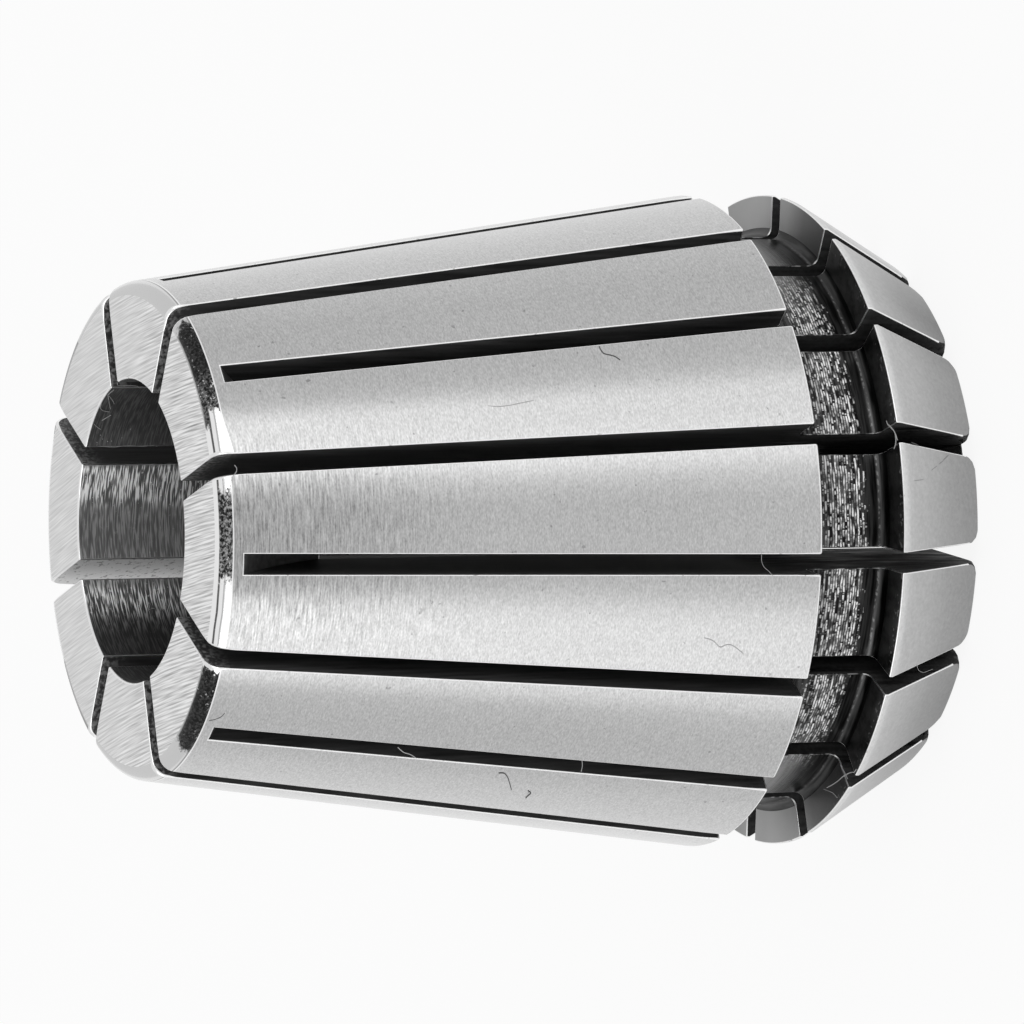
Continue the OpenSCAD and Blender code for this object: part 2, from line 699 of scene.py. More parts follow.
@dataclass(frozen=True)
class ShadedFlank:
    """A groove flank: painted shade makes it dark and blotched in front, and painted light makes
    it lighter and even towards the sides.
    """

    rim_r: float = 16.5
    roughness: float = 0.36
    relief: float = 0.002

    def material(self) -> bpy.types.Material:
        """Wire the flank's material.

        Returns:
            The material.
        """
        s = Surface("shaded_flank")
        rings = s.noise((0.5, 0.5, 1.0), 1.9, 3.0)
        mottle = s.noise((1.6, 1.6, 2.0), 6.8, 3.0, 0.65)
        dots = s.noise((4.5, 4.5, 4.5), 2.8, 1.0)
        # Painted shade in front and painted light towards the sides, by the angle from the front
        painted_level = s.ramp(
            s.front_angle().size(),
            [(0.0, 0.11), (45.0, 0.12), (60.0, 0.14), (70.0, 0.2), (77.0, 0.36), (90.0, 0.42)],
        )
        calm = s.front_angle().size().rise(48.0, 66.0)
        blotches = ((rings - 0.5) * 1.4 + 1) * (mottle.rise(0.3, 0.6) * 0.6 + 0.4)
        even = (rings - 0.5) * 0.25 + 0.9
        patches = (calm * (even - blotches) + blotches) * painted_level
        near_rim = s.radius().rise(self.rim_r - 0.8, self.rim_r - 0.1) * (1 - calm)
        level = dots.rise(0.6, 0.68) * near_rim * 0.5 + patches
        return s.close(level, self.roughness, s.bump(rings, self.relief), METAL)


@dataclass(frozen=True)
class SatinNose:
    """The nose cone's smooth satin, lighter towards the groove, with painted shade towards the
    nose face that varies with the angle from the front.
    """

    roughness: float = 0.34
    relief: float = 0.0015
    height: float = 5.6
    mark_r: float = 14.6
    mark_depth: float = 0.5
    marks: tuple[Stroke, ...] = (
        Stroke(19.3, 2.22, 146.0, 0.75, 0.05),
        Stroke(18.2, 2.62, 150.0, 0.6, 0.04),
        Stroke(16.9, 3.2, 152.0, 0.7, 0.03),
        Stroke(14.35, 4.45, 173.0, 0.9, 0.03),
    )

    def material(self) -> bpy.types.Material:
        """Wire the nose's material.

        Returns:
            The material.
        """
        s = Surface("satin_nose")
        grain = s.noise((5.5, 5.5, 5.5), 4.4, 2.0, 0.6)
        cloud = s.noise((0.25, 0.25, 0.25), 6.6)
        # Painted shade, darker towards the nose face
        shade = s.ramp(
            s.z,
            [(0.0, 0.285), (0.5, 0.295), (1.0, 0.308), (2.0, 0.34), (3.0, 0.395),
             (4.0, 0.448), (4.7, 0.467), (5.1, 0.51), (5.35, 0.62), (5.6, 0.68)],
        )
        # Half of the factor of the painted shade that the sides have at the foot, against the
        # front
        sides = s.ramp(
            s.front_angle(),
            [(-90.0, 1.0), (-66.0, 1.0), (-56.0, 0.4), (-45.0, 0.27), (-30.0, 0.5),
             (25.0, 0.5), (42.0, 0.35), (67.0, 0.27), (90.0, 0.27)],
        ) * 2
        foot = 1 - s.z / self.height
        shade = ((sides - 1) * foot + 1) * shade
        level = ((grain - 0.5) * 0.42 + (cloud - 0.5) * 0.1 + 1) * shade
        level = s.marked(level, self.marks, self.mark_r, self.mark_depth)
        return s.close(level, self.roughness, s.bump(grain, self.relief), METAL)


@dataclass(frozen=True)
class SawnWall:
    """A slot's sawn wall or floor with the blade's marks, dark with painted shade of the narrow
    slot.
    """

    name: str = "sawn_wall"
    level: float = 0.045
    shine: float = 0.2
    relief: float = 0.002

    def material(self) -> bpy.types.Material:
        """Wire the wall's material.

        Returns:
            The material.
        """
        s = Surface(self.name)
        lines = s.noise((4.0, 4.0, 0.3), 5.2, 3.0)
        scuffs = s.noise((5.0, 5.0, 5.0), 1.2, 2.0)
        # Painted shade of the slot, darker still below z 13; lighter and scuffed near the end face
        low = s.z.rise(13.0, 9.5)
        lighter_ends = s.z.rise(38.4, 39.9) * 0.2 + low * 0.01
        slot_shade = ((lines - 0.5) * (low * 2.0 + 2.6) + 1) * (1 - low * 0.45) * self.level
        level = slot_shade + lighter_ends * scuffs.rise(0.42, 0.62)
        roughness = low * ((lines - 0.5) * 1.8 + 0.26) + 0.42
        settings = {"Specular IOR Level": self.shine}
        return s.close(level, roughness, s.bump(lines, self.relief), settings)


@dataclass(frozen=True)
class LitWall:
    """The walls of the one slot with painted light: light pitted grey near the small end, and
    painted slot shade below.
    """

    level: float = 0.56
    slot_shade: float = 0.04
    roughness: float = 0.42
    relief: float = 0.002

    def material(self) -> bpy.types.Material:
        """Wire the wall's material.

        Returns:
            The material.
        """
        s = Surface("wiped_wall")
        lines = s.noise((4.0, 4.0, 0.3), 5.2, 3.0)
        pits = s.noise((2.5, 2.5, 4.0), 7.4, 3.0, 0.6)
        # Painted light on the upper part of the walls, over the painted slot shade
        lighted = s.z.rise(28.0, 32.0)
        painted_level = (1 - pits.rise(0.55, 0.62) * 0.7) * (self.level - self.slot_shade)
        level = lighted * painted_level + self.slot_shade
        return s.close(level, self.roughness, s.bump(lines, self.relief), METAL)


@dataclass(frozen=True)
class BrokenEdge:
    """The broken edge along a slot, bright with a painted highlight, and with painted shade where
    it runs inside the groove.
    """

    level: float = 0.88
    roughness: float = 0.3
    relief: float = 0.004

    def material(self) -> bpy.types.Material:
        """Wire the edge's material.

        Returns:
            The material.
        """
        s = Surface("broken_edge")
        nicks = s.noise((2.6, 2.6, 2.6), 3.8, 3.0)
        gaps = nicks.rise(0.62, 0.74) * 0.6
        # Painted shade of the groove on the edges that run inside it
        sunk = s.z.within(5.7, 9.9, 0.2) * s.radius().rise(16.3, 15.9) * s.radius().rise(8.0, 9.0)
        mottle = nicks.rise(0.6, 0.45) * 0.3 + 0.65
        level = ((nicks - 0.5) * 0.3 + 1) * (1 - gaps) * (1 - sunk * mottle) * self.level
        return s.close(level, self.roughness, s.bump(nicks, self.relief), METAL)


@dataclass(frozen=True)
class Lint:
    """Dull matt fibre."""

    name: str
    level: float
    roughness: float = 0.8

    def material(self) -> bpy.types.Material:
        """Wire the fibre's material.

        Returns:
            The material.
        """
        s = Surface(self.name)
        cloud = s.noise((1.5, 1.5, 1.5), 2.4)
        return s.close(((cloud - 0.5) * 0.5 + 1) * self.level, self.roughness, None, {})


FINISHES = {
    Zone.TAPER: GroundTaper(),
    Zone.CORNER: PolishedCorner(),
    Zone.END_FACE: GroundFace("ground_end", 0.75, 0.3, 18.5),
    Zone.BORE: HonedBore(),
    Zone.GROOVE: TurnedGroove(),
    Zone.FLANK: ShadedFlank(),
    Zone.NOSE: SatinNose(),
    Zone.NOSE_FACE: GroundFace("ground_nose", 0.5, 0.32, 20.0),
    Zone.WALL: SawnWall(),
    Zone.WIPED: LitWall(),
    Zone.SAW_FLOOR: SawnWall("sawn_floor"),
    Zone.EDGE: BrokenEdge(),
}


# The collet's skin


@dataclass(frozen=True)
class Corner:
    """One corner of the half section, with the round that breaks it."""

    r: float
    z: float
    radius: float
    steps: int
    arc_zone: Zone
    run_zone: Zone
    spacing: float


@dataclass
class Station:
    """One point of the half section, with its outward normal and what follows it."""

    r: float
    z: float
    nr: float
    nz: float
    zone: Zone


# A row of vertices across the skin, with the azimuth of each, and a corner of a face:
# its vertex, its shading normal and its place on the flat map
Row = list[tuple[int, float]]
Knot = tuple[int, Point, Spot]
# Runs of the half section on which a slot ends, each by the number of the corner before it
NOSE_FACE_RUN, TAPER_RUN, BORE_RUN = 0, 6, 8
# Rows of the unrolled map that each millimetre of the half section gets
ROWS_PER_MM = {
    Zone.TAPER: 12.0,
    Zone.CORNER: 24.0,
    Zone.END_FACE: 20.0,
    Zone.BORE: 4.4,
    Zone.GROOVE: 17.0,
    Zone.FLANK: 12.0,
    Zone.NOSE: 14.0,
    Zone.NOSE_FACE: 8.0,
    Zone.EDGE: 20.0,
}


@dataclass(frozen=True)
class Unrolled:
    """The flat map of the skin: azimuth runs along it, and the walls lie in boxes above."""

    first_azimuth: float = 1.5
    span: float = 365.0
    skin_share: float = 0.9
    box_low: float = 0.91
    box_high: float = 0.995
    wall_pitch: float = 0.0206
    floor_left: float = 0.664
    floor_pitch: float = 0.007
    lit_wall_left: float = 0.785
    lit_wall_pitch: float = 0.105
    filled: float = 0.9

    def skin(self, azimuth: float, row: float) -> Spot:
        """Return the place of a skin point, from its azimuth and its share of the section."""
        return (azimuth - self.first_azimuth) / self.span, row * self.skin_share

    def up(self, share: float) -> float:
        """Return the height in the band of boxes."""
        return self.box_low + (self.box_high - self.box_low) * share

    def wall(self, box: int, out: float, height: float) -> Spot:
        """Return the place of a wall point, from its shares of the wall's box."""
        return (box + out * self.filled) * self.wall_pitch, self.up(height)

    def floor(self, box: int, across: float, height: float) -> Spot:
        """Return the place of a saw floor's point, from its shares of the floor."""
        left = self.floor_left + box * self.floor_pitch
        return left + across * self.filled * self.floor_pitch, self.up(height)

    def lighted(self, box: int, out: float, height: float) -> Spot:
        """Return the place of a point of the walls with painted light, which lies on its side."""
        left = self.lit_wall_left + box * self.lit_wall_pitch
        return left + height * self.filled * self.lit_wall_pitch, self.up(out)


@dataclass
class Slots:
    """One of the two sets of saw cuts."""

    first_azimuth: float
    blade_z: float
    blade_r: float
    blade_out: float
    start: int = 0
    end: int = 0

    def on_blade(self, x: float, z: float) -> float:
        """Return how far outside the blade's circle a point of the slot's plane lies."""
        return math.hypot(x - self.blade_out, z - self.blade_z) - self.blade_r


@dataclass
class Sleeve:
    """The slotted sleeve: its sizes, its half section and its closed skin."""

    length: float = 40.0
    body_r: float = 16.5
    bore_r: float = 7.5
    taper_deg: float = 8.0
    nose_len: float = 5.6
    nose_deg: float = 30.0
    nose_band: float = 0.2
    rim_round: float = 0.25
    groove_w: float = 4.4
    groove_depth: float = 2.1
    fillet: float = 0.45
    end_round: float = 0.75
    slot_pairs: int = 8
    slot_w: float = 1.0
    saw_r: float = 20.0
    saw_dip: float = 2.5
    end_web: float = 1.2
    nose_web: float = 4.7
    small_round: float = 0.1
    edge_break: float = 0.055
    rim_corner: float = 0.9
    rim_margin: float = 0.1
    cone_side: float = 0.6
    end_corner: float = 0.14
    end_reach: float = 1.3
    groove_corner: float = 0.08
    groove_reach: float = 0.4
    edge_steps: int = 3
    columns: int = 16
    web_columns: int = 8
    arc_rows: int = 26
    crowding: float = 0.2
    halvings: int = 50
    lit_azimuth: float = 202.5
    edge_row: float = 0.0008
    name: str = "collet_body"
    verts: list[Point] = field(default_factory=list)
    faces: list[tuple[list[int], Zone]] = field(default_factory=list)
    normals: list[list[Point]] = field(default_factory=list)
    spots: list[list[Spot]] = field(default_factory=list)
    flat: Unrolled = field(default_factory=Unrolled)

    @property
    def groove_high(self) -> float:
        """Return the height of the groove's upper edge."""
        return self.nose_len + self.groove_w

    @property
    def cone(self) -> float:
        """Return the height of the nose cone."""
        return self.nose_len - self.nose_band

    @property
    def rim_r(self) -> float:
        """Return the radius at which the nose cone meets the nose face."""
        return self.body_r - self.cone * math.tan(math.radians(self.nose_deg))

    @property
    def shares(self) -> list[float]:
        """Return the places of the columns across a slot, from -1 to 1."""
        return [2 * c / self.web_columns - 1 for c in range(self.web_columns + 1)]

    @property
    def turns(self) -> list[float]:
        """Return the turns of a broken edge's rows, from the skin to the wall."""
        return [math.pi / 2 * s / self.edge_steps for s in range(self.edge_steps + 1)]

    def taper_at(self, z: float) -> float:
        """Return the taper's radius at a height."""
        return self.body_r - (z - self.groove_high) * math.tan(math.radians(self.taper_deg))

    def corners(self) -> list[Corner]:
        """Lay out the corners of the half section.

        Returns:
            The corners, from the bore's foot outwards.
        """
        high, floor = self.groove_high, self.body_r - self.groove_depth
        small, half = self.small_round, self.small_round / 2
        z = Zone
        return [
            Corner(self.bore_r, 0.0, small, 3, z.EDGE, z.NOSE_FACE, 0.4),
            Corner(self.rim_r, 0.0, self.rim_round, 6, z.NOSE, z.NOSE, 0.3),
            Corner(self.body_r, self.cone, half, 2, z.NOSE, z.NOSE, 1.0),
            Corner(self.body_r, self.nose_len, half, 3, z.EDGE, z.FLANK, 0.8),
            Corner(floor, self.nose_len, self.fillet, 5, z.GROOVE, z.GROOVE, 0.6),
            Corner(floor, high, self.fillet, 5, z.GROOVE, z.FLANK, 0.8),
            Corner(self.body_r, high, small, 3, z.EDGE, z.TAPER, 1.2),
            Corner(self.taper_at(self.length), self.length, self.end_round, 8,
                   z.CORNER, z.END_FACE, 0.7),
            Corner(self.bore_r, self.length, small, 3, z.EDGE, z.BORE, 1.6),
        ]

    @staticmethod
    def arc(before: Corner, at: Corner, after: Corner) -> list[tuple[float, ...]]:
        """Round one corner.

        Args:
            before: The corner before it.
            at: The corner that is rounded.
            after: The corner after it.

        Returns:
            Place and normal of each point of the arc.
        """
        into = Vector((at.r - before.r, at.z - before.z)).normalized()
        out = Vector((after.r - at.r, after.z - at.z)).normalized()
        turn = math.atan2(into.x * out.y - into.y * out.x, into.dot(out))
        set_back = at.radius * math.tan(abs(turn) / 2)
        side = 1.0 if turn > 0 else -1.0
        start = Vector((at.r, at.z)) - into * set_back
        n_in = Vector((into.y, -into.x))
        centre = start - n_in * at.radius * side
        points = []
        for k in range(at.steps + 1):
            a = turn * k / at.steps
            n = Vector((n_in.x * math.cos(a) - n_in.y * math.sin(a),
                        n_in.x * math.sin(a) + n_in.y * math.cos(a)))
            p = centre + n * at.radius * side
            points.append((p.x, p.y, n.x, n.y))
        return points

    def slot_sets(self) -> tuple[Slots, Slots]:
        """Work out where the saw's blade stops.

        Returns:
            The cuts sawn from the nose, and those sawn from the small end.
        """
        out = self.bore_r - self.saw_dip + self.saw_r
        top = self.length - self.end_web
        r = self.taper_at(top)
        nose_z = top - math.sqrt(self.saw_r**2 - (out - r) ** 2)
        foot = self.bore_r + self.nose_web
        end_z = math.sqrt(self.saw_r**2 - (out - foot) ** 2)
        pitch = 360.0 / self.slot_pairs
        return (
            Slots(0.0, nose_z, self.saw_r, out),
            Slots(pitch / 2, end_z, self.saw_r, out),
        )

    def crossing(self, cut: Slots, a: Spot, b: Spot, normal: Spot, depth: float) -> Spot:
        """Find where the blade's circle crosses a straight run of the section.

        Args:
            cut: The set of cuts.
            a: The run's start, as r and z.
            b: The run's end, as r and z.
            normal: The run's outward normal.
            depth: How far below the surface the crossing is wanted.

        Returns:
            The crossing's r and z, at that depth.
        """
        half = self.slot_w / 2

        def spot(t: float) -> Spot:
            """Return the place at a share of the run."""
            r = a[0] + (b[0] - a[0]) * t - normal[0] * depth
            return r, a[1] + (b[1] - a[1]) * t - normal[1] * depth

        def gap(t: float) -> float:
            """Return the signed distance from the blade's circle."""
            r, z = spot(t)
            return cut.on_blade(math.sqrt(r * r - half * half), z)

        low, high = 0.0, 1.0
        rising = gap(high) > gap(low)
        for _ in range(self.halvings):
            mid = (low + high) / 2
            if (gap(mid) > 0) == rising:
                high = mid
            else:
                low = mid
        return spot((low + high) / 2)

    def section(self) -> None:
        """Lay out the stations of the closed half section, with the slots' ends among them."""
        nose_cut, end_cut = self.slot_sets()
        corners = self.corners()
        count = len(corners)
        arcs = [
            self.arc(corners[k - 1], corners[k], corners[(k + 1) % count])
            for k in range(count)
        ]
        # Which cut ends on which run, and on which side of its end the metal is whole:
        # +1 where the run goes on past the slot, -1 where it comes to it
        ends = (
            (NOSE_FACE_RUN, end_cut, "start", -1),
            (TAPER_RUN, nose_cut, "end", 1),
            (BORE_RUN, nose_cut, "start", -1),
            (BORE_RUN, end_cut, "end", 1),
        )
        self.stations: list[Station] = []
        self.slot_ends: dict[tuple[int, int], tuple[Spot, Spot]] = {}
        b = self.edge_break
        for k, corner in enumerate(corners):
            points = arcs[k]
            for r, z, nr, nz in points[:-1]:
                self.stations.append(Station(r, z, nr, nz, corner.arc_zone))
            r0, z0, nr, nz = points[-1]
            r1, z1 = arcs[(k + 1) % count][0][:2]
            run = math.hypot(r1 - r0, z1 - z0)
            shares = [0.0]
            marks = []
            for where, cut, side, past in ends:
                if where != k:
                    continue
                lo, hi = self.halves(cut, k, (r0, z0), (r1, z1))
                er, ez = self.crossing(cut, lo, hi, (nr, nz), 0.0)
                wr, wz = self.crossing(cut, lo, hi, (nr, nz), b)
                share = math.hypot(er - r0, ez - z0) / run + past * b / run
                marks.append((share, cut, side, (er, ez), (wr, wz)))
            cells = max(1, round(run / corner.spacing))
            for step in range(1, cells):
                share = step / cells
                if all(abs(share - m[0]) * run > self.crowding * corner.spacing for m in marks):
                    shares.append(share)
            shares = sorted(shares + [m[0] for m in marks])
            for share in shares:
                r, z = r0 + (r1 - r0) * share, z0 + (z1 - z0) * share
                for mark in marks:
                    if mark[0] == share:
                        setattr(mark[1], mark[2], len(self.stations))
                        self.slot_ends[(id(mark[1]), len(self.stations))] = mark[3:]
                self.stations.append(Station(r, z, nr, nz, corner.run_zone))
        self.cuts = (nose_cut, end_cut)
        self.rows = [0.0]
        for k, station in enumerate(self.stations):
            after = self.stations[(k + 1) % len(self.stations)]
            run = math.hypot(after.r - station.r, after.z - station.z)
            self.rows.append(self.rows[-1] + run * ROWS_PER_MM[station.zone])
        self.rows = [row / self.rows[-1] for row in self.rows]

    @staticmethod
    def halves(cut: Slots, run: int, a: Spot, b: Spot) -> tuple[Spot, Spot]:
        """Return the part of a run that holds one crossing of the blade's circle.

        Args:
            cut: The set of cuts.
            run: The run's number.
            a: The run's start, as r and z.
            b: The run's end, as r and z.

        Returns:
            The part's start and end.
        """
        if run != BORE_RUN:
            return a, b
        level = (a[0], cut.blade_z)
        return (a, level) if cut.first_azimuth == 0.0 else (level, b)

    def flare(self, station: Station) -> float:
        """Work out how wide the broken slot edge is at a station.

        Args:
            station: The station.

        Returns:
            The width, mm, with more of it at the ends of the fingers.
        """

        def near(r: float, z: float, reach: float) -> float:
            """Return 1 at a corner of the half section, falling to 0 at its reach."""
            return max(0.0, 1 - math.hypot(station.z - z, station.r - r) / reach)

        at_end = near(self.taper_at(self.length), self.length, self.end_reach)
        at_rim = near(self.rim_r, 0.0, self.rim_corner)
        at_groove = near(self.body_r, self.groove_high, self.groove_reach)
        return (self.edge_break + self.end_corner * at_end**2 * (3 - 2 * at_end)
                + self.rim_corner * (1 - math.sqrt(1 - at_rim**2))
                + self.groove_corner * at_groove**2)

    def edge_zone(self, a: Station, b: Station, step: int) -> Zone:
        """Return the surface of one step of a slot's edge between two stations.

        Args:
            a: The first station.
            b: The station after it.
            step: The step, 0 beside the skin.

        Returns:
            The broken edge, or at the rim's wide round the nose and the wall.
        """
        inner = self.rim_r - self.rim_corner - self.rim_margin
        near_rim = max(a.z, b.z) < self.rim_corner and min(a.r, b.r) > inner
        if not near_rim or max(self.flare(a), self.flare(b)) < 2 * self.edge_break:
            return Zone.EDGE
        return Zone.NOSE if step == 0 and a.nr > self.cone_side else Zone.WALL

    def add(self, x: float, y: float, z: float, azimuth: float) -> int:
        """Add a vertex.

        Args:
            x: Distance out along the slot's plane, mm.
            y: Distance sideways from the slot's plane, mm.
            z: Height, mm.
            azimuth: The slot plane's direction, degrees.

        Returns:
            The vertex's number.
        """
        self.verts.append(tuple(v * MM for v in self.turned(x, y, z, azimuth)))
        return len(self.verts) - 1

    def face(
        self, ids: list[int], normals: list[Point], spots: list[Spot], zone: Zone
    ) -> None:
        """Add a face, turned to agree with its normals.

        Args:
            ids: Its vertices, in either sense.
            normals: The shading normal at each.
            spots: The place of each on the flat map.
            zone: Its surface.
        """
        kept = [k for k, i in enumerate(ids) if i != ids[k - 1]]
        ids, normals, spots = ([row[k] for k in kept] for row in (ids, normals, spots))
        points = [Vector(self.verts[i]) for i in ids]
        area = Vector((0.0, 0.0, 0.0))
        for k in range(1, len(points) - 1):
            area += (points[k] - points[0]).cross(points[k + 1] - points[0])
        mean = sum((Vector(n) for n in normals), Vector((0.0, 0.0, 0.0)))
        if area.dot(mean) < 0:
            ids, normals, spots = ids[::-1], normals[::-1], spots[::-1]
        self.faces.append((ids, zone))
        self.normals.append(normals)
        self.spots.append(spots)

    def band(self, low: list[Knot], high: list[Knot], zones: list[Zone]) -> None:
        """Add the quads between two rows of knots, with the surface of each."""
        for c, zone in enumerate(zones):
            self.face(*zip(low[c], low[c + 1], high[c + 1], high[c]), zone)

    def bands(self, rows: list[list[Knot]], zone: Zone) -> None:
        """Add the quads between rows of knots, all of one surface."""
        for low, high in zip(rows, rows[1:]):
            self.band(low, high, [zone] * (len(low) - 1))

    @staticmethod
    def turned(x: float, y: float, z: float, azimuth: float) -> Point:
        """Return a vector of a slot's own axes turned to its azimuth."""
        c, s = heading(azimuth)
        return (x * c - y * s, x * s + y * c, z)

    def run(self, first: int, last: int) -> list[int]:
        """Return the stations from one to another, both included."""
        n = len(self.stations)
        return [(first + k) % n for k in range((last - first) % n + 1)]

    def build(self) -> None:
        """Lay out every vertex and face of the closed skin."""
        self.section()
        pitch = 180.0 / self.slot_pairs
        self.breaks = [self.flare(station) for station in self.stations]
        for cut in self.cuts:
            self.breaks[cut.start] = self.breaks[cut.end] = self.edge_break
        self.offs = [math.degrees(math.asin((self.slot_w / 2 + b) / s.r))
                     for b, s in zip(self.breaks, self.stations)]
        azimuths = [j * pitch for j in range(2 * self.slot_pairs)]
        skin = [self.finger(azimuth, pitch) for azimuth in azimuths]
        around = [*range(len(self.stations)), 0]
        for rows in skin:
            self.weave([rows[i] for i in around], around)
        for j, azimuth in enumerate(azimuths):
            Opening(self, self.cuts[j % 2], azimuth, skin[j - 1], skin[j]).close()

    def finger(self, azimuth: float, pitch: float) -> list[Row]:
        """Lay out the skin's vertices from one slot to the next.

        Args:
            azimuth: The first slot's direction, degrees.
            pitch: The angle between the two slots.

        Returns:
            A row at each station.
        """
        rows = []
        for off, st in zip(self.offs, self.stations):
            row = []
            for c in range(self.columns + 1):
                a = azimuth + off + (pitch - 2 * off) * c / self.columns
                row.append((self.add(st.r, 0.0, st.z, a), a))
            rows.append(row)
        return rows

    def weave(self, rows: list[Row], stations: list[int]) -> None:
        """Add the skin between rows.

        Args:
            rows: The rows of vertices, with the azimuth of each.
            stations: The station of each row.
        """
        for k, i in enumerate(stations[:-1]):
            borders = []
            for up in (0, 1):
                st = self.stations[stations[k + up]]
                borders.append([
                    (v, self.turned(st.nr, 0.0, st.nz, a), self.flat.skin(a, self.rows[i + up]))
                    for v, a in rows[k + up]
                ])
            self.band(*borders, [self.stations[i].zone] * (len(rows[k]) - 1))

    def piece(self) -> bpy.types.Object:
        """Build the mesh object, dress each surface and stand it in for the solid.

        Returns:
            The finished piece.
        """
        self.build()
        mesh = bpy.data.meshes.new(self.name)
        mesh.from_pydata(self.verts, [], [ids for ids, _ in self.faces])
        order = list(Zone)
        for zone in order:
            mesh.materials.append(FINISHES[zone].material())
        for polygon, (_, zone) in zip(mesh.polygons, self.faces):
            polygon.material_index = order.index(zone)
            polygon.use_smooth = True
        baked = mesh.uv_layers.new(name="OFBake")
        flat = [value for face in self.spots for spot in face for value in spot]
        baked.uv.foreach_set("vector", flat)
        mesh.normals_split_custom_set([n for face in self.normals for n in face])
        mesh.update()
        piece = stand(self.name, mesh)
        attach(piece, "root")
        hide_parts("collet")
        return piece


